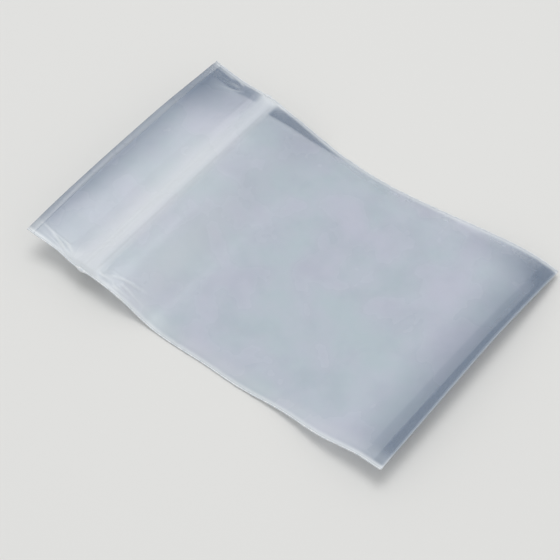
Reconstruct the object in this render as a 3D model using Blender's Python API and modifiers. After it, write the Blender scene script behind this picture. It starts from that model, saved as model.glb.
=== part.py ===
"""A press-to-close zipper bag of clear film, lying as it comes to rest on a table.

One sheet of film is folded at the bottom and welded down both sides into a sleeve. A rib strip and
a groove strip are fused inside its mouth and pressed together. The pieces are made flat, with X
across the bag, Y towards the mouth and Z through it, and are then draped: the bag rests on a level
stretch behind the zip, and curls up to its mouth and to its folded bottom.
"""

import math

import bmesh
import bpy
import numpy as np
from mathutils import Vector

MM = 0.001

# Sleeve: one folded sheet, open at the mouth, its back lip longer than its front lip
BAG_WIDTH = 100 * MM
BAG_LENGTH = 150 * MM
FILM = 0.08 * MM
LIP_STEP = 2.5 * MM
WELD_GAP = 0.1 * MM  # from mid-plane to film, along the welds and in the bottom fold
AIR_GAP = 0.4 * MM  # the same, in the middle of the bag
SIDE_TAPER = 11 * MM  # run over which the walls close towards a side weld
FOLD_TAPER = 9 * MM  # the same towards the bottom fold
BEAD_PROUD = 0.08 * MM  # how far a weld bead stands proud of the film

# Zip: a rib strip on the front wall, a groove strip on the back wall
ZIP_FROM_MOUTH = 24.5 * MM
WEB_WIDTH = 8.4 * MM
WEB = 0.2 * MM
WEB_EDGE = 0.1 * MM
STEM_WIDTH = 0.4 * MM
HEAD_WIDTH = 1.3 * MM
HEAD_HEIGHT = 0.5 * MM
HOOK_HEIGHT = 0.35 * MM
JAW_WALL = 0.42 * MM
ZIP_CLEARANCE = 0.2 * MM  # round the rib's head, and over the hooks
SEAT_GAP = 0.2 * MM  # between a strip's web and the film behind it
PINCH = 2.2 * MM  # run over which the walls close from a strip's end to the weld
LIP_FLANK = 5 * MM  # run over which the walls close from the webs towards the mouth
BODY_FLANK = 2.5 * MM  # the same towards the fold
MELT_LENGTH = 5 * MM  # length of the lump where a weld has melted the strips' ends
MELT_WIDTH = 0.75 * MM

# Drape
FLAT_MARGIN = 0.5 * MM  # level film on each side of the webs
ZIP_RISE = 9.5 * MM
ZIP_BOW = 1.2 * MM  # how far the zip's ends sag below its middle
LIP_CURL = 3 * MM
LIP_CROWN = 3.5 * MM  # further rise of the lip's middle
RAMP_RUN = 33 * MM  # from the level zip down to the resting stretch
REST_LENGTH = 23 * MM
FOLD_RISE = 8 * MM
FOLD_RUN = 76 * MM  # run over which the fold's rise would level out
CORNER_DROOP = 5.5 * MM  # of the bottom corner on the +X side
CORNER_RUN = 30 * MM

# Facets
ACROSS_STEP = 10 * MM
LIP_FACET = 3.5 * MM
RAMP_FACET = 4 * MM
FOLD_FACET = 6.5 * MM
FOLD_SIDES = 4
BEAD_SIDES = 8
PINCH_STEPS = 4
TAPER_STEPS = 3
NOSE_SIDES = 6
RUN_STEPS = 64

# What follows from the sizes above
BEAD_RADIUS = WELD_GAP + FILM + BEAD_PROUD
HALF_RIM = BAG_WIDTH / 2 - BEAD_RADIUS  # the film's own edge, buried in the bead
HALF_STRIP = HALF_RIM - PINCH
FOLD_CENTRE = BAG_LENGTH - WELD_GAP - FILM
WEB_SPACING = 3 * ZIP_CLEARANCE + HEAD_HEIGHT + HOOK_HEIGHT
ZIP_GAP = WEB_SPACING / 2 + WEB + SEAT_GAP
FLAT_HALF = WEB_WIDTH / 2 + FLAT_MARGIN
LIP_FOOT = ZIP_FROM_MOUTH - FLAT_HALF
RAMP_TOP = ZIP_FROM_MOUTH + FLAT_HALF
REST_START = RAMP_TOP + RAMP_RUN
REST_END = REST_START + REST_LENGTH
REST_MIDDLE = (REST_START + REST_END) / 2

FILM_COLOUR = (0.50, 0.53, 0.58)
STRIP_COLOUR = (0.64, 0.67, 0.71)


def clear_scene():
    for old in list(bpy.data.objects):
        bpy.data.objects.remove(old, do_unlink=True)


def plastic(name, colour, roughness, alpha):
    material = bpy.data.materials.new(name)
    material.use_nodes = True
    shader = material.node_tree.nodes["Principled BSDF"]
    shader.inputs["Base Color"].default_value = (*colour, 1)
    shader.inputs["Roughness"].default_value = roughness
    shader.inputs["Metallic"].default_value = 0
    shader.inputs["Alpha"].default_value = alpha
    return material


def spread(start, stop, step):
    """Evenly spaced values from start to stop, no further than step apart."""
    return list(np.linspace(start, stop, max(1, math.ceil(abs(stop - start) / step)) + 1))


def unique(values):
    """The values in rising order, each one once."""
    kept = []
    for value in sorted(values):
        if not kept or value - kept[-1] > FILM / 8:
            kept.append(value)
    return kept


def ease(share):
    """0 up to 0, 1 from 1 on, with no slope and no bend at either end."""
    share = np.clip(share, 0, 1)
    return share**3 * (share * (6 * share - 15) + 10)


# Flat bag: the gap between its walls, and where its facets lie


def half_gap(across, along):
    """From the mid-plane to the inner face of a wall of the flat bag."""
    from_weld = HALF_RIM - abs(across)
    from_fold = FOLD_CENTRE - along
    past_web = abs(along - ZIP_FROM_MOUTH) - WEB_WIDTH / 2
    flank = LIP_FLANK if along < ZIP_FROM_MOUTH else BODY_FLANK
    air = (AIR_GAP - WELD_GAP) * ease(from_weld / SIDE_TAPER) * ease(from_fold / FOLD_TAPER)
    room = (ZIP_GAP - WELD_GAP) * min(1, from_weld / PINCH) * (1 - ease(past_web / flank))
    return WELD_GAP + max(air, room)


def across_stations():
    """Where facets meet across the bag, the same on every piece."""
    inner = HALF_RIM - SIDE_TAPER
    pinch = np.linspace(HALF_RIM, HALF_STRIP, PINCH_STEPS + 1)
    taper = np.linspace(HALF_STRIP, inner, TAPER_STEPS + 1)
    middle = spread(inner, -inner, ACROSS_STEP)
    right = [*pinch, *taper]
    return unique([*right, *middle, *(-value for value in right)])


def along_stations():
    """Where facets meet along the film, from the back lip to the bottom fold."""
    web_start = ZIP_FROM_MOUTH - WEB_WIDTH / 2
    web_end = ZIP_FROM_MOUTH + WEB_WIDTH / 2
    flank_start = web_start - LIP_FLANK
    flank_end = web_end + BODY_FLANK
    taper_start = FOLD_CENTRE - FOLD_TAPER
    return unique([
        0,
        *spread(LIP_STEP, flank_start, LIP_FACET),
        *spread(flank_start, web_start, LIP_FLANK / 3),
        web_start,
        web_end,
        *spread(web_end, flank_end, BODY_FLANK / 3),
        *spread(flank_end, REST_START, RAMP_FACET),
        *spread(REST_END, taper_start, FOLD_FACET),
        *spread(taper_start, FOLD_CENTRE, FOLD_TAPER / 3),
    ])


def film_rows():
    """The sheet's rows from back lip to front lip: (along, side) on a wall, (turn, 0) in the fold."""
    back = [(along, -1) for along in along_stations()]
    front = [(along, 1) for along in reversed(along_stations()) if along > LIP_STEP - FILM]
    turns = [(-math.pi / 2 + math.pi * index / FOLD_SIDES, 0) for index in range(1, FOLD_SIDES)]
    return back + turns + front


def film_point(across, row):
    """A point of the sheet's inner face in the flat bag."""
    position, side = row
    if side:
        return Vector((across, -position, side * half_gap(across, position)))
    along = FOLD_CENTRE + WELD_GAP * math.cos(position)
    return Vector((across, -along, WELD_GAP * math.sin(position)))


# Drape: how the flat bag lies


def film_height(across, along):
    """Height of the bag's mid-plane above the table that it rests on."""
    offset = across / (BAG_WIDTH / 2)
    zip_height = ZIP_RISE - ZIP_BOW * offset**2
    mouth = zip_height * ease((REST_START - along) / RAMP_RUN)
    lip = (LIP_CURL + LIP_CROWN * (1 - offset**2)) * np.clip((LIP_FOOT - along) / LIP_FOOT, 0, 1) ** 2
    fold = FOLD_RISE * ease((along - REST_END) / FOLD_RUN)
    to_corner = np.clip((along - BAG_LENGTH + CORNER_RUN) / CORNER_RUN, 0, 1)
    droop = CORNER_DROOP * np.clip(offset, 0, 1) ** 2 * to_corner**2
    return mouth + lip + fold - droop


def draped(point):
    """Where a point of the flat bag comes to lie, with lengths along the film kept."""
    across, along, lift = point.x, -point.y, point.z
    stations = np.linspace(REST_MIDDLE, along, RUN_STEPS + 1)
    rises = np.diff(film_height(across, stations))
    run = np.sum(np.sqrt(np.diff(stations) ** 2 - rises**2))
    nudge = FILM / 2
    climb = (film_height(across, along + nudge) - film_height(across, along - nudge)) / (2 * nudge)
    bank = (film_height(across + nudge, along) - film_height(across - nudge, along)) / (2 * nudge)
    level = math.sqrt(1 - climb**2)
    normal = Vector((-bank * level, climb, level)).normalized()
    surface = Vector((across, math.copysign(run, REST_MIDDLE - along), film_height(across, along)))
    return surface + lift * normal


def drape(piece):
    """Split a flat piece's faces into triangles and lay them on the bag's curve."""
    bm = bmesh.new()
    bm.from_mesh(piece.data)
    bmesh.ops.triangulate(bm, faces=bm.faces)
    for vert in bm.verts:
        vert.co = draped(vert.co)
    bm.to_mesh(piece.data)
    bm.free()
    piece.data.shade_smooth()
    piece.data.set_sharp_from_angle(angle=math.radians(30))


# Pieces


def new_object(name, bm, collection):
    mesh = bpy.data.meshes.new(name)
    bm.to_mesh(mesh)
    bm.free()
    made = bpy.data.objects.new(name, mesh)
    collection.objects.link(made)
    return made


def swept(name, outline, stations, place, collection):
    """A closed outline carried through stations: place(u, v, station) gives each corner."""
    bm = bmesh.new()
    corner = bm.verts.layers.int.new("corner")
    ring = [bm.verts.new(place(u, v, stations[0])) for u, v in outline]
    for index, vert in enumerate(ring):
        vert[corner] = index
    start = bm.faces.new(ring)
    end = start
    for station in stations[1:]:
        grown = bmesh.ops.extrude_face_region(bm, geom=[end])["geom"]
        for vert in (item for item in grown if isinstance(item, bmesh.types.BMVert)):
            vert.co = place(*outline[vert[corner]], station)
        if end is not start:
            bmesh.ops.delete(bm, geom=[end], context="FACES_ONLY")
        end = next(item for item in grown if isinstance(item, bmesh.types.BMFace))
    bmesh.ops.recalc_face_normals(bm, faces=bm.faces)
    return new_object(name, bm, collection)


def arc(centre, radii, start, stop, sides):
    """Points of an elliptical arc, with its angles in degrees."""
    angles = [math.radians(start + (stop - start) * index / sides) for index in range(sides + 1)]
    return [(centre[0] + radii[0] * math.cos(a), centre[1] + radii[1] * math.sin(a)) for a in angles]


def mirrored(half):
    """A half outline on the +u side, and the same points back up the -u side."""
    return half + [(-u, v) for u, v in reversed(half) if u > FILM / 8]


def weld_bead(side, cutters):
    """The melted edge of a side weld, swollen where it has run into the strips' ends."""
    melt_height = WEB_SPACING / 2

    def place(u, v, along):
        swell = 1 - ease(abs(along - ZIP_FROM_MOUTH) / (MELT_LENGTH / 2))
        wide = BEAD_RADIUS + (MELT_WIDTH - BEAD_RADIUS) * swell
        tall = BEAD_RADIUS + (melt_height - BEAD_RADIUS) * swell
        return Vector((side * (HALF_RIM + u * wide), -along, v * tall))

    circle = arc((0, 0), (1, 1), 0, 360, BEAD_SIDES)[:-1]
    melt = np.linspace(ZIP_FROM_MOUTH - MELT_LENGTH / 2, ZIP_FROM_MOUTH + MELT_LENGTH / 2, 5)
    clear = [along for along in along_stations() if abs(along - ZIP_FROM_MOUTH) > MELT_LENGTH / 2 + FILM]
    stations = unique([*clear, *melt, BAG_LENGTH - BEAD_PROUD])
    bead = swept("weld_bead", circle, stations, place, cutters)
    bead.hide_render = True
    bead.display_type = "WIRE"
    return bead


def film_sleeve(collection, cutters):
    """The folded sheet, thickened outwards and joined to its two weld beads."""
    columns = across_stations()
    rows = film_rows()
    bm = bmesh.new()
    bmesh.ops.create_grid(bm, x_segments=len(columns) - 1, y_segments=len(rows) - 1, size=1)
    for vert in bm.verts:
        column = round((vert.co.x + 1) / 2 * (len(columns) - 1))
        row = round((vert.co.y + 1) / 2 * (len(rows) - 1))
        vert.co = film_point(columns[column], rows[row])
    sheet = new_object("flat_sheet", bm, cutters)
    wall = sheet.modifiers.new("wall", "SOLIDIFY")
    wall.thickness = FILM
    wall.offset = 1
    wall.use_even_offset = True
    for side in (-1, 1):
        weld = sheet.modifiers.new("weld", "BOOLEAN")
        weld.operation = "UNION"
        weld.solver = "EXACT"
        weld.object = weld_bead(side, cutters)
    evaluated = sheet.evaluated_get(bpy.context.evaluated_depsgraph_get())
    sleeve = bpy.data.objects.new("film_sleeve", bpy.data.meshes.new_from_object(evaluated))
    sleeve.data.name = "film_sleeve"
    collection.objects.link(sleeve)
    bpy.data.objects.remove(sheet)
    return sleeve


def strip(name, outline, collection):
    """A closure strip: its section drawn in (along, lift) from the zip's centre, run across the bag."""

    def place(u, v, across):
        return Vector((across, -ZIP_FROM_MOUTH + u, v))

    stations = [across for across in across_stations() if abs(across) < HALF_STRIP + FILM]
    return swept(name, outline, stations, place, collection)


def rib_strip(collection):
    """The front strip: a web with a stem whose arrow head snaps behind the hooks."""
    face = WEB_SPACING / 2
    shoulder = ZIP_CLEARANCE + HEAD_HEIGHT - face
    nose = ZIP_CLEARANCE - face
    flat = HEAD_HEIGHT / 3
    half = [
        (0, face + WEB),
        (WEB_WIDTH / 2, face + WEB),
        (WEB_WIDTH / 2, face + WEB - WEB_EDGE),
        (WEB_WIDTH / 2 - 4 * WEB_EDGE, face),
        (STEM_WIDTH / 2, face),
        (STEM_WIDTH / 2, shoulder),
        (HEAD_WIDTH / 2, shoulder),
        *arc((0, shoulder - flat), (HEAD_WIDTH / 2, shoulder - flat - nose), 0, -90, NOSE_SIDES),
    ]
    return strip("rib_strip", mirrored(half), collection)


def groove_strip(collection):
    """The back strip: a web with two hooked jaws round the rib's head."""
    floor = -WEB_SPACING / 2
    hook_under = floor + 2 * ZIP_CLEARANCE + HEAD_HEIGHT
    hook_top = hook_under + HOOK_HEIGHT
    cavity = HEAD_WIDTH / 2 + ZIP_CLEARANCE
    mouth = STEM_WIDTH / 2 + ZIP_CLEARANCE
    outer = cavity + JAW_WALL
    half = [
        (0, floor),
        (cavity, floor),
        (cavity, hook_under),
        (mouth, hook_under),
        (mouth, hook_under + HOOK_HEIGHT / 2),
        *arc((mouth + JAW_WALL, hook_top - JAW_WALL), (outer - mouth - JAW_WALL, JAW_WALL), 90, 0, 3),
        (outer, floor),
        (WEB_WIDTH / 2 - 4 * WEB_EDGE, floor),
        (WEB_WIDTH / 2, floor - WEB + WEB_EDGE),
        (WEB_WIDTH / 2, floor - WEB),
        (0, floor - WEB),
    ]
    return strip("groove_strip", mirrored(half), collection)


def settle(pieces):
    """Put the middle of the bag's outline over the origin and its lowest face on the table."""
    corners = np.array([vert.co for piece in pieces for vert in piece.data.vertices])
    low = corners.min(axis=0)
    high = corners.max(axis=0)
    shift = Vector((-(low[0] + high[0]) / 2, -(low[1] + high[1]) / 2, -low[2]))
    for piece in pieces:
        for vert in piece.data.vertices:
            vert.co += shift


def main():
    clear_scene()
    bag = bpy.data.collections.new("zipper_bag")
    cutters = bpy.data.collections.new("cutters")
    bpy.context.scene.collection.children.link(bag)
    bpy.context.scene.collection.children.link(cutters)
    film = plastic("milky_film", FILM_COLOUR, 0.3, 0.55)
    zip_plastic = plastic("zip_plastic", STRIP_COLOUR, 0.4, 0.8)
    sleeve = film_sleeve(bag, cutters)
    strips = [rib_strip(bag), groove_strip(bag)]
    sleeve.data.materials.append(film)
    for piece in strips:
        piece.data.materials.append(zip_plastic)
    for piece in (sleeve, *strips):
        drape(piece)
    settle((sleeve, *strips))


main()
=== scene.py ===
import math

import bmesh
import bpy
import numpy as np
from mathutils import Matrix, Vector


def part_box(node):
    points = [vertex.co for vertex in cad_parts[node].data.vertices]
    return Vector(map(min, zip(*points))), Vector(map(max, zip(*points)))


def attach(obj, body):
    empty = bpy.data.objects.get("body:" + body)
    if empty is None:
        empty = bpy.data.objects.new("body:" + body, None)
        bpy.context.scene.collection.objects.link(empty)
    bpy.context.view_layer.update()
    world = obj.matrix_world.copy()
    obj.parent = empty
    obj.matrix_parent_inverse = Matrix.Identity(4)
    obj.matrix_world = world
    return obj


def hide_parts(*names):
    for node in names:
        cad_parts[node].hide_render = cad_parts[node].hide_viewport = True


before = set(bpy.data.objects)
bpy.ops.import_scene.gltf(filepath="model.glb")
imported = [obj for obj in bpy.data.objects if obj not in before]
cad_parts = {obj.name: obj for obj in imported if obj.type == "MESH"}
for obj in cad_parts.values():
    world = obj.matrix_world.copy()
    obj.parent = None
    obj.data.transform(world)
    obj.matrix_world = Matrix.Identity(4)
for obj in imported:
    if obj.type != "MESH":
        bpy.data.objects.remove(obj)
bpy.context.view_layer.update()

# The film sleeve. One sheet of blown low-density polyethylene, 0.08 mm thick, is folded at the bottom
# and cut and welded down both sides by a hot knife. The front lip ends short of the back lip. The zip
# at the mouth holds the walls apart, and a little air keeps them apart below it.

# On the flat bag a point is across, from the middle line towards the far weld, and along, from the
# mouth towards the fold.
MM = 0.001
WIDTH = 100 * MM
LENGTH = 150 * MM
FILM = 0.08 * MM
LIP_STEP = 2.5 * MM
WELD_GAP = 0.1 * MM
AIR_GAP = 0.4 * MM
WELD_RADIUS = 0.26 * MM
SIDE_TAPER = 11 * MM
FOLD_TAPER = 9 * MM
ZIP_FROM_MOUTH = 24.5 * MM
WEB_WIDTH = 8.4 * MM
SEAT = 0.03 * MM  # the walls stand off the strips by this much
PINCH = 2.2 * MM  # run over which they close from the strips to the welds
LIP_FLANK = 8 * MM  # and from the strips towards the mouth
BODY_FLANK = 4 * MM  # and towards the fold

# How the flat bag lies: level under the zip and in its middle, curling up at the mouth and the fold
LEVEL_HALF = WEB_WIDTH / 2 + 0.5 * MM
ZIP_RISE = 9.5 * MM
ZIP_BOW = 1.2 * MM
LIP_CURL = 3 * MM
LIP_CROWN = 3.5 * MM
RAMP_RUN = 33 * MM
REST_LENGTH = 23 * MM
FOLD_RISE = 8 * MM
FOLD_RUN = 76 * MM
CORNER_DROOP = 5.5 * MM
CORNER_RUN = 30 * MM
LIP_FOOT = ZIP_FROM_MOUTH - LEVEL_HALF
REST_START = ZIP_FROM_MOUTH + LEVEL_HALF + RAMP_RUN
REST_END = REST_START + REST_LENGTH
REST_MIDDLE = (REST_START + REST_END) / 2

RIM = WIDTH / 2 - WELD_RADIUS
FOLD_CENTRE = LENGTH - WELD_GAP - FILM
rib_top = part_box("rib_strip")[1].z
groove_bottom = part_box("groove_strip")[0].z
ZIP_GAP = (rib_top - groove_bottom - ZIP_BOW) / 2 + SEAT


def ease(share):
    """A smooth step, from 0 at 0 to 1 at 1."""
    share = np.clip(share, 0, 1)
    return share**3 * (share * (6 * share - 15) + 10)


def stroke(distance, width):
    """1 on a line and less on either side of it, like the stroke of a soft brush."""
    return np.exp(-((distance / width) ** 2))


def half_gap(across, along):
    """How far each wall stands from the middle of the bag."""
    from_weld = RIM - np.abs(across)
    past_web = np.abs(along - ZIP_FROM_MOUTH) - WEB_WIDTH / 2
    flank = np.where(along < ZIP_FROM_MOUTH, LIP_FLANK, BODY_FLANK)
    air = (AIR_GAP - WELD_GAP) * ease(from_weld / SIDE_TAPER) * ease((FOLD_CENTRE - along) / FOLD_TAPER)
    room = (ZIP_GAP - WELD_GAP) * ease(from_weld / PINCH) * (1 - ease(past_web / flank))
    return WELD_GAP + np.maximum(air, room)


def lie(across, along):
    """How high the middle of the bag lies over its level stretch."""
    offset = across / (WIDTH / 2)
    zip_height = ZIP_RISE - ZIP_BOW * offset**2
    mouth = zip_height * ease((REST_START - along) / RAMP_RUN)
    lip = (LIP_CURL + LIP_CROWN * (1 - offset**2)) * np.clip((LIP_FOOT - along) / LIP_FOOT, 0, 1) ** 2
    fold = FOLD_RISE * ease((along - REST_END) / FOLD_RUN)
    to_corner = np.clip((along - LENGTH + CORNER_RUN) / CORNER_RUN, 0, 1)
    return mouth + lip + fold - CORNER_DROOP * np.clip(offset, 0, 1) ** 2 * to_corner**2


def waves(across, along, sizes, height, seed):
    """Long straight waves of film, one of each size, laid over each other at seeded angles."""
    draw = np.random.default_rng(seed)
    total = np.zeros_like(across)
    for size in sizes:
        turn, phase = draw.uniform(0, 2 * math.pi, 2)
        total += np.sin((across * math.cos(turn) + along * math.sin(turn)) * 2 * math.pi / size + phase)
    return total * height / len(sizes)


# How far the far edge stands out past its straight line at stations along the bag, in millimetres.
# The corners between the stations are rounded off by a running mean.
FAR_STRAY = {0: 0.1, 28: 0.1, 31: -0.8, 36: -1.35, 42: -1, 50: 0, 54: 0.25, 62: -0.5, 72: -1.3,
             83: -1.3, 92: -0.6, 102: 0, 112: 0.3, 124: 0, 132: 0.2, 143: 0.9, 150: 1.1}
ROUNDING = 5
MARGIN = ROUNDING // 2
edge_along = np.arange(-MARGIN, round(LENGTH / MM) + 1 + MARGIN) * MM
far_edge = np.interp(edge_along, np.array(list(FAR_STRAY)) * MM, np.array(list(FAR_STRAY.values())) * MM)
far_edge = np.convolve(far_edge, np.ones(ROUNDING) / ROUNDING, "valid")
edge_along = edge_along[MARGIN:-MARGIN]
NEAR_SWAYS = np.array([41, 29, 63]) * MM
NEAR_STRAY = 0.8 * MM
NEAR_OUT = 0.3 * MM
HELD_BY_ZIP = 14 * MM
HELD_BY_FOLD = 12 * MM


def wander(across, along):
    """How the side edges stray where the welds have shrunk the film. The near edge strays least at
    the stiff zip and the fold."""
    held = ease(np.abs(along - ZIP_FROM_MOUTH) / HELD_BY_ZIP) * ease((LENGTH - along) / HELD_BY_FOLD)
    near = waves(np.zeros_like(across), along, NEAR_SWAYS, NEAR_STRAY, 8) + NEAR_OUT
    far = np.interp(along, edge_along, far_edge)
    return np.where(across < 0, near * held, far) * (across / (WIDTH / 2)) ** 4


RUN_STEPS = 48


def draped(flat):
    """Lay points of the flat bag on its curve, keeping lengths along the film. Each row of flat is
    (across, along, lift)."""
    across, along, lift = flat.T
    steps = REST_MIDDLE + np.outer(along - REST_MIDDLE, np.linspace(0, 1, RUN_STEPS + 1))
    rises = np.diff(lie(across[:, None], steps), axis=1)
    run = np.sqrt(np.diff(steps, axis=1) ** 2 - rises**2).sum(axis=1)
    nudge = FILM / 2
    climb = (lie(across, along + nudge) - lie(across, along - nudge)) / (2 * nudge)
    bank = (lie(across + nudge, along) - lie(across - nudge, along)) / (2 * nudge)
    level = np.sqrt(1 - climb**2)
    normal = np.stack([-bank * level, climb, level], axis=1)
    normal /= np.linalg.norm(normal, axis=1, keepdims=True)
    strayed = across + wander(across, along)
    forward = np.sign(REST_MIDDLE - along) * run
    surface = np.stack([strayed, forward, lie(across, along)], axis=1)
    return surface + lift[:, None] * normal


PUCKER_HEIGHT = 0.11 * MM
PUCKER_PITCH = 5.5 * MM
PUCKER_REACH = 3.5 * MM
PUCKER_SWELLS = np.array([37, 23, 13]) * MM
PUCKER_LINE = 30 * MM  # each side reads its swell on a line of its own, so that the sides differ


def puckers(across, along):
    """Small ripples that the hot knife leaves in the film next to each weld."""
    from_weld = RIM - np.abs(across)
    side = np.sign(across)
    swell = waves(side * PUCKER_LINE, along, PUCKER_SWELLS, 1, 5)
    beat = np.sin(along * 2 * math.pi / PUCKER_PITCH + 3 * swell + side)
    faded = np.exp(-from_weld / PUCKER_REACH) * ease(from_weld / MM)
    return PUCKER_HEIGHT * beat * (0.5 + 0.5 * swell) * faded


CREASES = 30
CREASE_FROM_WELD = (0.6, 5.5)  # ranges of where a crease starts, how long and how high it is, in mm
CREASE_FROM_STRIP = (0.3, 9)
CREASE_LENGTH = (5, 19)
CREASE_HEIGHT = (0.1, 0.3)
CREASE_TURN = (1.46, 0.12)  # its angle to the zip in radians, and how much that varies
CREASE_WIDTH = 0.55 * MM
CREASE_TROUGH = 1.3 * MM
CREASE_BOW = 1.5 * MM


def creases(across, along):
    """Sharp little folds that run along the welds from the ends of the zip, where the film is
    gathered. Most are at the near end, and two of three go towards the mouth."""
    draw = np.random.default_rng(3)
    total = np.zeros_like(across)
    for index in range(CREASES):
        end = 1 if index % 6 == 1 else -1
        way = -1 if index % 3 else 1
        start = np.array([end * (RIM - draw.uniform(*CREASE_FROM_WELD) * MM),
                          ZIP_FROM_MOUTH + way * (WEB_WIDTH / 2 + draw.uniform(*CREASE_FROM_STRIP) * MM)])
        turn = draw.normal(*CREASE_TURN)
        run = np.array([-end * math.cos(turn), way * math.sin(turn)])
        from_start = np.stack([across, along], axis=1) - start
        length = draw.uniform(*CREASE_LENGTH) * MM
        share = from_start @ run / length
        off = from_start @ np.array([-run[1], run[0]]) + CREASE_BOW * (share - 0.5) ** 2
        profile = stroke(off, CREASE_WIDTH) - 0.35 * stroke(off, CREASE_TROUGH)
        total += draw.uniform(*CREASE_HEIGHT) * MM * profile * ease(share * 4) * (1 - ease(share))
    return total * ease((RIM - np.abs(across)) / MM)


JAW = 0.8 * MM
RIDGE_HEIGHT = 0.07 * MM
RIDGE_WIDTH = 0.35 * MM


def jaw_ridges(along):
    """Two faint ridges where the jaws of the zip press out through the walls."""
    from_zip = along - ZIP_FROM_MOUTH
    return RIDGE_HEIGHT * (stroke(from_zip - JAW, RIDGE_WIDTH) + stroke(from_zip + JAW, RIDGE_WIDTH))


def new_piece(name, bm):
    """The finished mesh as a piece of the scene."""
    mesh = bpy.data.meshes.new(name)
    bm.to_mesh(mesh)
    bm.free()
    piece = bpy.data.objects.new(name, mesh)
    bpy.context.scene.collection.objects.link(piece)
    return piece


def stepped(*stops):
    """Values from stop to stop, each pair of stops with its own step between them."""
    values = [stops[0]]
    for start, step, stop in zip(stops[:-1:2], stops[1::2], stops[2::2]):
        values += list(np.linspace(start, stop, math.ceil((stop - start) / step) + 1))[1:]
    return np.array(values)


# The sheet is a grid, finest at the welds, the zip and the fold. Its rows go down the back wall from
# the mouth, round the fold and up the front wall to the shorter lip.
WAVE_SIZES = np.array([31, 43, 57, 26]) * MM
WAVE_HEIGHT = 0.25 * MM
LOOSE_RUN = 6 * MM
SLACK_RUN = 8 * MM
half_columns = stepped(0, 2 * MM, RIM - 20 * MM, 0.8 * MM, RIM - 9 * MM, 0.33 * MM, RIM)
columns = np.concatenate([-half_columns[:0:-1], half_columns])
web_start = ZIP_FROM_MOUTH - WEB_WIDTH / 2
web_end = ZIP_FROM_MOUTH + WEB_WIDTH / 2
wall = stepped(0, LIP_STEP, LIP_STEP, 0.6 * MM, web_start - LIP_FLANK, 0.45 * MM, web_start, 0.3 * MM,
               web_end, 0.35 * MM, web_end + BODY_FLANK, 0.45 * MM, web_end + 13 * MM, 1.5 * MM,
               FOLD_CENTRE - FOLD_TAPER, 0.4 * MM, FOLD_CENTRE)
FOLD_ROWS = 9
turns = np.linspace(-math.pi / 2, math.pi / 2, FOLD_ROWS)[1:-1]
rows = [(along, -1) for along in wall]
rows += [(turn, 0) for turn in turns]
rows += [(along, 1) for along in wall[::-1] if along > LIP_STEP - FILM]

bm = bmesh.new()
bmesh.ops.create_grid(bm, x_segments=len(columns) - 1, y_segments=len(rows) - 1, size=1)
places = np.array([vert.co for vert in bm.verts])
column = np.rint((places[:, 0] + 1) / 2 * (len(columns) - 1)).astype(int)
row = np.rint((places[:, 1] + 1) / 2 * (len(rows) - 1)).astype(int)
position, side = np.array(rows)[row].T
across = columns[column]
in_fold = side == 0
along = np.where(in_fold, FOLD_CENTRE + WELD_GAP * np.cos(position), position)
gap = half_gap(across, np.minimum(along, FOLD_CENTRE))
lift = np.where(in_fold, WELD_GAP * np.sin(position), side * gap)
loose = ease((np.abs(along - ZIP_FROM_MOUTH) - WEB_WIDTH / 2) / LOOSE_RUN)
slack = loose * ease((RIM - np.abs(across)) / SLACK_RUN) * ease((FOLD_CENTRE - along) / SLACK_RUN)
lift += side * slack * waves(across, along, WAVE_SIZES, WAVE_HEIGHT, 11)
lift += loose * puckers(across, along) * np.where(along > LIP_STEP, 1, 0.5)
lift += side * creases(across, along)
lift += side * jaw_ridges(along)
laid = draped(np.stack([across, along, lift], axis=1))

# The laid sheet is centred on the solid and keeps its outer face just off the floor.
FLOOR_CLEARANCE = 0.03 * MM
sleeve_low, sleeve_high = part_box("film_sleeve")
shift_y = (sleeve_low.y + sleeve_high.y) / 2 - (laid[:, 1].min() + laid[:, 1].max()) / 2
shift_z = AIR_GAP + FILM
laid += (0, shift_y, shift_z)
laid[:, 2] = np.maximum(laid[:, 2], FILM + FLOOR_CLEARANCE)
for vert, place in zip(bm.verts, laid):
    vert.co = place

# How milky the film looks, point by point. "shade" is painted shade, which makes the film darker and a
# little more opaque: beside the far weld, at the mouth, in the far corner by the fold, and along the
# fold, where two strips narrow towards the far weld.
LIP_STRIP = 6 * MM
LIP_REACH = 30 * MM
LIP_END = web_start + 5 * MM
LIP_END_RUN = 4 * MM
BODY_START = web_end + 0.5 * MM
BODY_START_RUN = 2 * MM
SHADED_STRIP = 7.5 * MM
SHADED_STRIP_RUN = 38 * MM
BODY_REACH = 21 * MM
BODY_END = 72 * MM
BODY_END_RUN = 40 * MM
CORNER_REACH = 16 * MM
CORNER_START = 108 * MM
CORNER_START_RUN = 25 * MM
MOUTH_SHADE = 16 * MM
FOLD_SHADE = 20 * MM
WIDE_STRIP, WIDE_SLANT = 8 * MM, 0.027
NARROW_STRIP, NARROW_SLANT = 4 * MM, 0.022


def inside(depth, softness):
    """1 inside an edge and 0 outside it, over a soft width."""
    return ease(depth / softness + 0.5)


from_weld = RIM - np.abs(across)
from_far_weld = RIM - across
from_near_edge = across + WIDTH / 2
# Painted shade beside the far weld, on the lip and on the body, each a soft wide part and a sharper
# strip.
far_lip = 0.4 * ease(1.25 - from_far_weld / (LIP_REACH - 0.5 * along))
far_lip += 0.45 * inside(LIP_STRIP - from_far_weld, softness=1.5 * MM)
far_lip *= ease((LIP_END - along) / LIP_END_RUN)
shaded_strip = SHADED_STRIP * np.clip(1 - (along - web_end) / SHADED_STRIP_RUN, 0, 1)
far_body = 0.65 * inside(shaded_strip - from_far_weld, softness=MM) * (shaded_strip > 0)
far_body += 0.3 * ease(1.2 - from_far_weld / BODY_REACH) * ease((BODY_END - along) / BODY_END_RUN)
far_body *= ease((along - BODY_START) / BODY_START_RUN)
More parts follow.
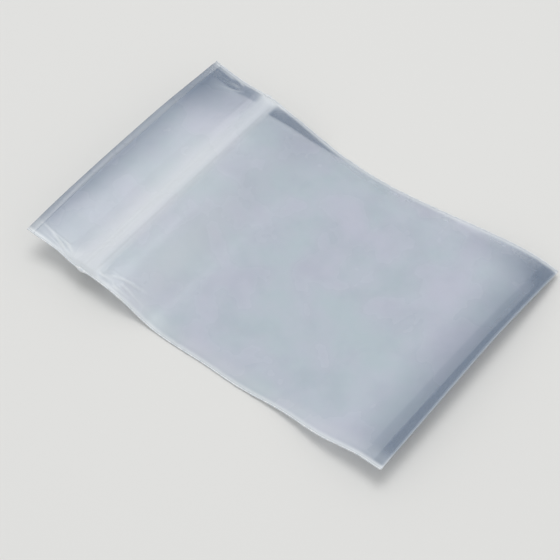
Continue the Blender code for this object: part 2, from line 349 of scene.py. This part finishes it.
# Painted shade in the far corner by the fold.
far_corner = 0.4 * ease(1.1 - from_far_weld / CORNER_REACH)
far_corner *= ease((along - CORNER_START) / CORNER_START_RUN)
to_fold = LENGTH - along
# Painted shade along the fold, in two steps, and at the mouth.
fold_shade = 0.72 * np.clip(1 - to_fold / FOLD_SHADE, 0, 1) ** 1.1
fold_shade += 0.14 * inside(WIDE_STRIP - WIDE_SLANT * from_near_edge - to_fold, softness=0.8 * MM)
fold_shade += 0.3 * inside(NARROW_STRIP - NARROW_SLANT * from_near_edge - to_fold, softness=0.6 * MM)
mouth_shade = 0.9 * np.clip(1 - along / MOUTH_SHADE, 0, 1) ** 1.5

# The glow is where the film is painted whiter. The strips back it at the zip, dimmed towards the far end
# by painted shade, and from them a painted sheen spreads over the lip and the body: BAND_GLOW holds
# stations along the bag, in millimetres. Heat, pressure or a sharp bend whitens it at the welds, the
# fold, the ends of the zip and the creases, whose ridges also carry a painted highlight. A painted
# highlight runs beside the near weld, and a painted reflection, a faint pale cloud, lies behind the zip.
BAND_GLOW = {0: 0, 8: 0.06, 14: 0.25, 18: 0.45, 21: 0.7, 24: 1, 27: 1, 28.5: 0.75, 30: 0.45,
             32: 0.25, 36: 0.12, 50: 0.05, 70: 0}
FAR_FADE_START = 5 * MM
FAR_FADE_RUN = 38 * MM
FAR_FADE = 0.35  # the share of the glow lost at the far end
LIP_FADE = 0.35  # and what more is lost there on the mouth's side
LIP_FADE_RUN = 9 * MM
NEAR_HIGHLIGHT = 3 * MM
SEAM_LINE = 0.6 * MM
SEAM_WIDTH = 0.7 * MM
FOLD_LINE_WIDTH = 0.6 * MM
SHEEN_PLACE = (-25 * MM, 45 * MM)
SHEEN_SIZE = (28 * MM, 8 * MM)
CRUSHED_REACH = 3 * MM
CRUSHED_LEAN = 0.05
BENT_HEIGHT = 0.14 * MM
zip_glow = np.interp(along, np.array(list(BAND_GLOW)) * MM, list(BAND_GLOW.values()))
# Painted shade: the band's glow is dimmed towards the far side, more so on the mouth's side, and where
# the far weld is shaded.
to_far_side = ease((across - FAR_FADE_START) / FAR_FADE_RUN)
zip_glow *= 1 - (FAR_FADE + LIP_FADE * ease((web_end - along) / LIP_FADE_RUN)) * to_far_side
zip_glow *= 1 - np.clip(far_lip + far_body, 0, 1)
# A painted highlight along the near weld.
near_highlight = stroke(RIM + across - NEAR_HIGHLIGHT, NEAR_HIGHLIGHT)
seam = stroke(from_weld - SEAM_LINE, SEAM_WIDTH)
fold_line = stroke(to_fold, FOLD_LINE_WIDTH)
# A painted reflection: a faint pale cloud on the near side behind the zip.
painted_sheen = stroke(across - SHEEN_PLACE[0], SHEEN_SIZE[0]) * stroke(along - SHEEN_PLACE[1], SHEEN_SIZE[1])
from_zip_end = np.hypot(from_weld, (along - ZIP_FROM_MOUTH - CRUSHED_LEAN * across) * 0.6)
crushed = np.where(across > 0, 1.4, 1) * stroke(from_zip_end, CRUSHED_REACH)
# The crease ridges are whitened and also carry a painted highlight.
bent_whitening_and_glint = np.clip(creases(across, along) / BENT_HEIGHT, 0, 1)
whitened_and_lit = 0.28 * near_highlight + 0.8 * seam + 0.45 * fold_line + 0.36 * painted_sheen + 0.8 * crushed + 0.5 * bent_whitening_and_glint

# "air" is how far the walls are apart, from 0 where they cling to 1 over the trapped air.
looks = {"air": (gap - WELD_GAP) / (AIR_GAP - WELD_GAP),
         "whitening_and_sheen": zip_glow + whitened_and_lit,
         "shade": far_lip + far_body + far_corner + fold_shade + mouth_shade}
for name, shares in looks.items():
    layer = bm.verts.layers.float.new(name)
    for vert, share in zip(bm.verts, np.clip(shares, 0, 1)):
        vert[layer] = share
sleeve = new_piece("sleeve_film", bm)
sleeve.data.shade_smooth()
thickness = sleeve.modifiers.new("thickness", "SOLIDIFY")
thickness.thickness = FILM
thickness.offset = 1
thickness.use_even_offset = True


def linear(hexadecimal):
    """An sRGB hex colour as the linear values that a shader takes."""
    shares = [int(hexadecimal[i:i + 2], 16) / 255 for i in (1, 3, 5)]
    return [s / 12.92 if s <= 0.04045 else ((s + 0.055) / 1.055) ** 2.4 for s in shares] + [1]


def node(material, kind, inputs=None, **settings):
    """Add a node, with its settings and its inputs, each a value or the socket that feeds it."""
    made = material.node_tree.nodes.new(kind)
    for name, value in settings.items():
        setattr(made, name, value)
    for name, value in (inputs or {}).items():
        socket = made.inputs[name]
        if isinstance(value, bpy.types.NodeSocket):
            material.node_tree.links.new(value, socket)
        else:
            socket.default_value = value
    return made


def new_material(name):
    """A material with nodes, and its shader."""
    material = bpy.data.materials.new(name)
    material.use_nodes = True
    return material, material.node_tree.nodes["Principled BSDF"]


def feed(material, socket, source):
    """Link a source to a socket of the material's shader."""
    material.node_tree.links.new(source, socket)


# Blown LDPE film: milky and half clear, with a soft gloss. The haze is uneven, cooler and pinker in
# turns, and the film is clearer where its walls cling. Die lines from the extruder run along the zip,
# drawn coarser than they are so that they show.
HAZE_PATCH = 19 * MM
TOUCH_PATCH = 13 * MM
DIE_LINE = 1.4 * MM
ORANGE_PEEL = 3 * MM
MIX_FROM, MIX_TO, MIXED = 6, 7, 2  # the colour sockets of a Mix node
film, shader = new_material("blown_ldpe_film")
where = node(film, "ShaderNodeTexCoord").outputs["Object"]
haze = node(film, "ShaderNodeTexNoise", {"Vector": where, "Scale": 1 / HAZE_PATCH, "Detail": 3.0,
                                         "Roughness": 0.5})
tint = node(film, "ShaderNodeValToRGB", {"Fac": haze.outputs["Fac"]})
tint.color_ramp.interpolation = "EASE"
for stop, position, colour in zip(tint.color_ramp.elements, (0.3, 0.7), ("#D8E5ED", "#DFE3F1")):
    stop.position = position
    stop.color = linear(colour)
touch = node(film, "ShaderNodeTexNoise", {"Vector": where, "Scale": 1 / TOUCH_PATCH, "Detail": 3.0,
                                          "Roughness": 0.55})
wet = node(film, "ShaderNodeMapRange", {"Value": touch.outputs["Fac"], "From Min": 0.44,
                                        "From Max": 0.66, "To Max": 0.2},
           interpolation_type="SMOOTHSTEP")
cleared = node(film, "ShaderNodeMix", {"Factor": wet.outputs["Result"], MIX_FROM: tint.outputs["Color"],
                                       MIX_TO: linear("#C2CCDA")}, data_type="RGBA")
# Painted shade: where the shade attribute says, the film is mixed towards a darker blue-grey and made a
# little more opaque.
shade = node(film, "ShaderNodeAttribute", attribute_name="shade")
edge = node(film, "ShaderNodeMix", {"Factor": shade.outputs["Fac"], MIX_FROM: cleared.outputs[MIXED],
                                    MIX_TO: linear("#8998AC")}, data_type="RGBA")
# The glow mixes the film towards white: partly its own whitening, partly painted highlight, sheen and
# reflection.
whitening_and_sheen = node(film, "ShaderNodeAttribute", attribute_name="whitening_and_sheen")
brightened = node(film, "ShaderNodeMix", {"Factor": whitening_and_sheen.outputs["Fac"], MIX_FROM: edge.outputs[MIXED],
                                      MIX_TO: linear("#F3F8FC")}, data_type="RGBA")
feed(film, shader.inputs["Base Color"], brightened.outputs[MIXED])
air = node(film, "ShaderNodeAttribute", attribute_name="air")
clear = node(film, "ShaderNodeMapRange", {"Value": air.outputs["Fac"], "To Min": 0.3, "To Max": 0.4})
fused = node(film, "ShaderNodeMath", {0: whitening_and_sheen.outputs["Fac"], 1: 0.13, 2: clear.outputs["Result"]},
             operation="MULTIPLY_ADD")
dulled = node(film, "ShaderNodeMath", {0: shade.outputs["Fac"], 1: 0.16, 2: fused.outputs["Value"]},
              operation="MULTIPLY_ADD")
feed(film, shader.inputs["Alpha"], dulled.outputs["Value"])
stretch = node(film, "ShaderNodeMapping", {"Vector": where, "Scale": (0.03, 1, 1)})
die_lines = node(film, "ShaderNodeTexNoise", {"Vector": stretch.outputs["Vector"],
                                              "Scale": 1 / DIE_LINE, "Detail": 2.0})
orange_peel = node(film, "ShaderNodeTexNoise", {"Vector": where, "Scale": 1 / ORANGE_PEEL, "Detail": 1.0})
relief = node(film, "ShaderNodeMath", {0: die_lines.outputs["Fac"], 1: orange_peel.outputs["Fac"]},
              operation="ADD")
bump = node(film, "ShaderNodeBump", {"Height": relief.outputs["Value"], "Distance": 0.01 * MM,
                                     "Strength": 0.5})
feed(film, shader.inputs["Normal"], bump.outputs["Normal"])
gloss = node(film, "ShaderNodeMapRange", {"Value": haze.outputs["Fac"], "To Min": 0.22, "To Max": 0.32})
feed(film, shader.inputs["Roughness"], gloss.outputs["Result"])
shader.inputs["IOR"].default_value = 1.51
sleeve.data.materials.append(film)
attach(sleeve, "root")
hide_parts("film_sleeve")

# The zip. Two strips of thicker polyethylene, extruded and fused inside the walls: a rib whose head
# has snapped behind the hooks of the groove. Their webs show through the film as a whiter band, with
# fine draw lines along it.
STRIP_CLOUD = 18 * MM
DRAW_LINE = 0.5 * MM
strip_plastic, shader = new_material("extruded_polyethylene_strip")
where = node(strip_plastic, "ShaderNodeTexCoord").outputs["Object"]
clouding = node(strip_plastic, "ShaderNodeTexNoise", {"Vector": where, "Scale": 1 / STRIP_CLOUD,
                                                      "Detail": 2.0})
whiteness = node(strip_plastic, "ShaderNodeValToRGB", {"Fac": clouding.outputs["Fac"]})
for stop, position, colour in zip(whiteness.color_ramp.elements, (0.3, 0.7), ("#EAEFF6", "#F1F2FA")):
    stop.position = position
    stop.color = linear(colour)
feed(strip_plastic, shader.inputs["Base Color"], whiteness.outputs["Color"])
stretch = node(strip_plastic, "ShaderNodeMapping", {"Vector": where, "Scale": (0.02, 1, 1)})
draw_lines = node(strip_plastic, "ShaderNodeTexNoise", {"Vector": stretch.outputs["Vector"],
                                                        "Scale": 1 / DRAW_LINE, "Detail": 2.0})
bump = node(strip_plastic, "ShaderNodeBump", {"Height": draw_lines.outputs["Fac"],
                                              "Distance": 0.02 * MM, "Strength": 0.5})
feed(strip_plastic, shader.inputs["Normal"], bump.outputs["Normal"])
shader.inputs["Roughness"].default_value = 0.38
shader.inputs["Alpha"].default_value = 0.6
for name in ("rib_strip", "groove_strip"):
    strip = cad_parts[name]
    strip.data.materials.clear()
    strip.data.materials.append(strip_plastic)

# The side welds. The knife melts both walls into one bead, a little lumpy, and swollen where it has
# run into the ends of the strips. The melt is whiter and shinier than the film, in small bright grains.
BEAD_SIDES = 10
BEAD_STEP = 0.45 * MM
LUMPINESS = 0.256
LUMP_RUN = 5
MELT_GRAIN = 0.9 * MM
MELT_LENGTH = 5 * MM
MELT_HEIGHT = 0.72 * MM
MELT_WIDTH = 0.75 * MM
weld_plastic, shader = new_material("melted_film_bead")
where = node(weld_plastic, "ShaderNodeTexCoord").outputs["Object"]
grains = node(weld_plastic, "ShaderNodeTexNoise", {"Vector": where, "Scale": 1 / MELT_GRAIN,
                                                   "Detail": 2.0})
shine = node(weld_plastic, "ShaderNodeValToRGB", {"Fac": grains.outputs["Fac"]})
for stop, position, colour in zip(shine.color_ramp.elements, (0.35, 0.65), ("#DDE4EA", "#F8FAFC")):
    stop.position = position
    stop.color = linear(colour)
feed(weld_plastic, shader.inputs["Base Color"], shine.outputs["Color"])
bump = node(weld_plastic, "ShaderNodeBump", {"Height": grains.outputs["Fac"], "Distance": 0.05 * MM,
                                             "Strength": 0.6})
feed(weld_plastic, shader.inputs["Normal"], bump.outputs["Normal"])
shader.inputs["Roughness"].default_value = 0.22
shader.inputs["IOR"].default_value = 1.51
shader.inputs["Alpha"].default_value = 0.85

# Each bead is extruded ring by ring from a circle, and its rings are then laid on the bag's curve.
for name, side in (("weld_bead_near", -1), ("weld_bead_far", 1)):
    stations = np.arange(0, LENGTH, BEAD_STEP)
    draw = np.random.default_rng(21 + side)
    bm = bmesh.new()
    corner = bm.verts.layers.int.new("corner")
    ring = bmesh.ops.create_circle(bm, cap_ends=True, segments=BEAD_SIDES, radius=1)["verts"]
    angles = [math.atan2(vert.co.y, vert.co.x) for vert in ring]
    for index, vert in enumerate(ring):
        vert[corner] = index
    rings = [list(ring)]
    end = bm.faces[:]
    for station in stations[1:]:
        grown = bmesh.ops.extrude_face_region(bm, geom=end)["geom"]
        new_verts = [item for item in grown if isinstance(item, bmesh.types.BMVert)]
        if station != stations[1]:
            bmesh.ops.delete(bm, geom=end, context="FACES_ONLY")
        end = [item for item in grown if isinstance(item, bmesh.types.BMFace)]
        rings.append(sorted(new_verts, key=lambda vert: vert[corner]))
    lumps = draw.normal(size=len(stations) + LUMP_RUN - 1)
    lumpy = 1 + LUMPINESS * np.convolve(lumps, np.ones(LUMP_RUN) / LUMP_RUN, "valid")
    flat = []
    for station, scale in zip(stations, lumpy):
        swell = 1 - float(ease(abs(station - ZIP_FROM_MOUTH) / (MELT_LENGTH / 2)))
        wide = WELD_RADIUS * scale + (MELT_WIDTH - WELD_RADIUS) * swell
        tall = WELD_RADIUS * scale + (MELT_HEIGHT - WELD_RADIUS) * swell
        for angle in angles:
            flat.append((side * (RIM + wide * math.cos(angle)), station, tall * math.sin(angle)))
    laid = draped(np.array(flat)) + (0, shift_y, shift_z)
    for ring_verts, start in zip(rings, range(0, len(laid), BEAD_SIDES)):
        for vert, place in zip(ring_verts, laid[start:start + BEAD_SIDES]):
            vert.co = place
    bmesh.ops.recalc_face_normals(bm, faces=bm.faces)
    bead = new_piece(name, bm)
    bead.data.shade_smooth()
    bead.data.materials.append(weld_plastic)
    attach(bead, "root")
    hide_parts("film_sleeve")

# The table, a plain pale sheet that runs on past the picture. Its matt paint takes a soft shadow.
FLOOR_SIZE = 10.0
bm = bmesh.new()
bmesh.ops.create_grid(bm, x_segments=1, y_segments=1, size=FLOOR_SIZE / 2)
floor = new_piece("pale_floor", bm)
paint, shader = new_material("matt_pale_paint")
shader.inputs["Base Color"].default_value = linear("#E4E4E2")
shader.inputs["Roughness"].default_value = 0.9
floor.data.materials.append(paint)

# The light: a white sky at a plain level, and one large soft lamp behind and above the bag.
SKY_LEVEL = 0.62
LAMP_SIDE = 0.7
LAMP_POWER = 6
LAMP_PLACE = Vector((0.12, 0.1, 1.25))
world = bpy.data.worlds.new("soft_sky")
bpy.context.scene.world = world
world.use_nodes = True
world.node_tree.nodes["Background"].inputs["Color"].default_value = (1, 1, 1, 1)
world.node_tree.nodes["Background"].inputs["Strength"].default_value = SKY_LEVEL
lamp = bpy.data.lights.new("softbox", "AREA")
lamp.shape = "RECTANGLE"
lamp.size = LAMP_SIDE
lamp.size_y = LAMP_SIDE
lamp.energy = LAMP_POWER
softbox = bpy.data.objects.new("softbox", lamp)
softbox.location = LAMP_PLACE
softbox.rotation_euler = (-LAMP_PLACE).to_track_quat("-Z", "Y").to_euler()
bpy.context.scene.collection.objects.link(softbox)

# The camera, at the photograph's viewing angle. Its place is measured from the bag's outline there.
PICTURE = 560  # the picture's side, and the focal length, in pixels
FOCAL_PIXELS = 1600
AZIMUTH = math.radians(-50.84)
ELEVATION = math.radians(53.03)
ROLL = math.radians(-0.96)
DISTANCE = 542.2 * MM
ASIDE = -3.9 * MM
ABOVE = -5.09 * MM
back = Vector((math.sin(AZIMUTH) * math.cos(ELEVATION), -math.cos(AZIMUTH) * math.cos(ELEVATION),
               math.sin(ELEVATION)))
right = Vector((math.cos(AZIMUTH), math.sin(AZIMUTH), 0))
up = back.cross(right)
camera_data = bpy.data.cameras.new("camera")
camera_data.sensor_fit = "HORIZONTAL"
camera_data.lens = camera_data.sensor_width * FOCAL_PIXELS / PICTURE
camera = bpy.data.objects.new("camera", camera_data)
turned_right = right * math.cos(ROLL) + up * math.sin(ROLL)
turned_up = up * math.cos(ROLL) - right * math.sin(ROLL)
camera.matrix_world = Matrix.Translation(ASIDE * right + ABOVE * up + DISTANCE * back) @ Matrix(
    (turned_right, turned_up, back)).transposed().to_4x4()
bpy.context.scene.collection.objects.link(camera)
bpy.context.scene.camera = camera
bpy.context.scene.view_settings.view_transform = "Standard"
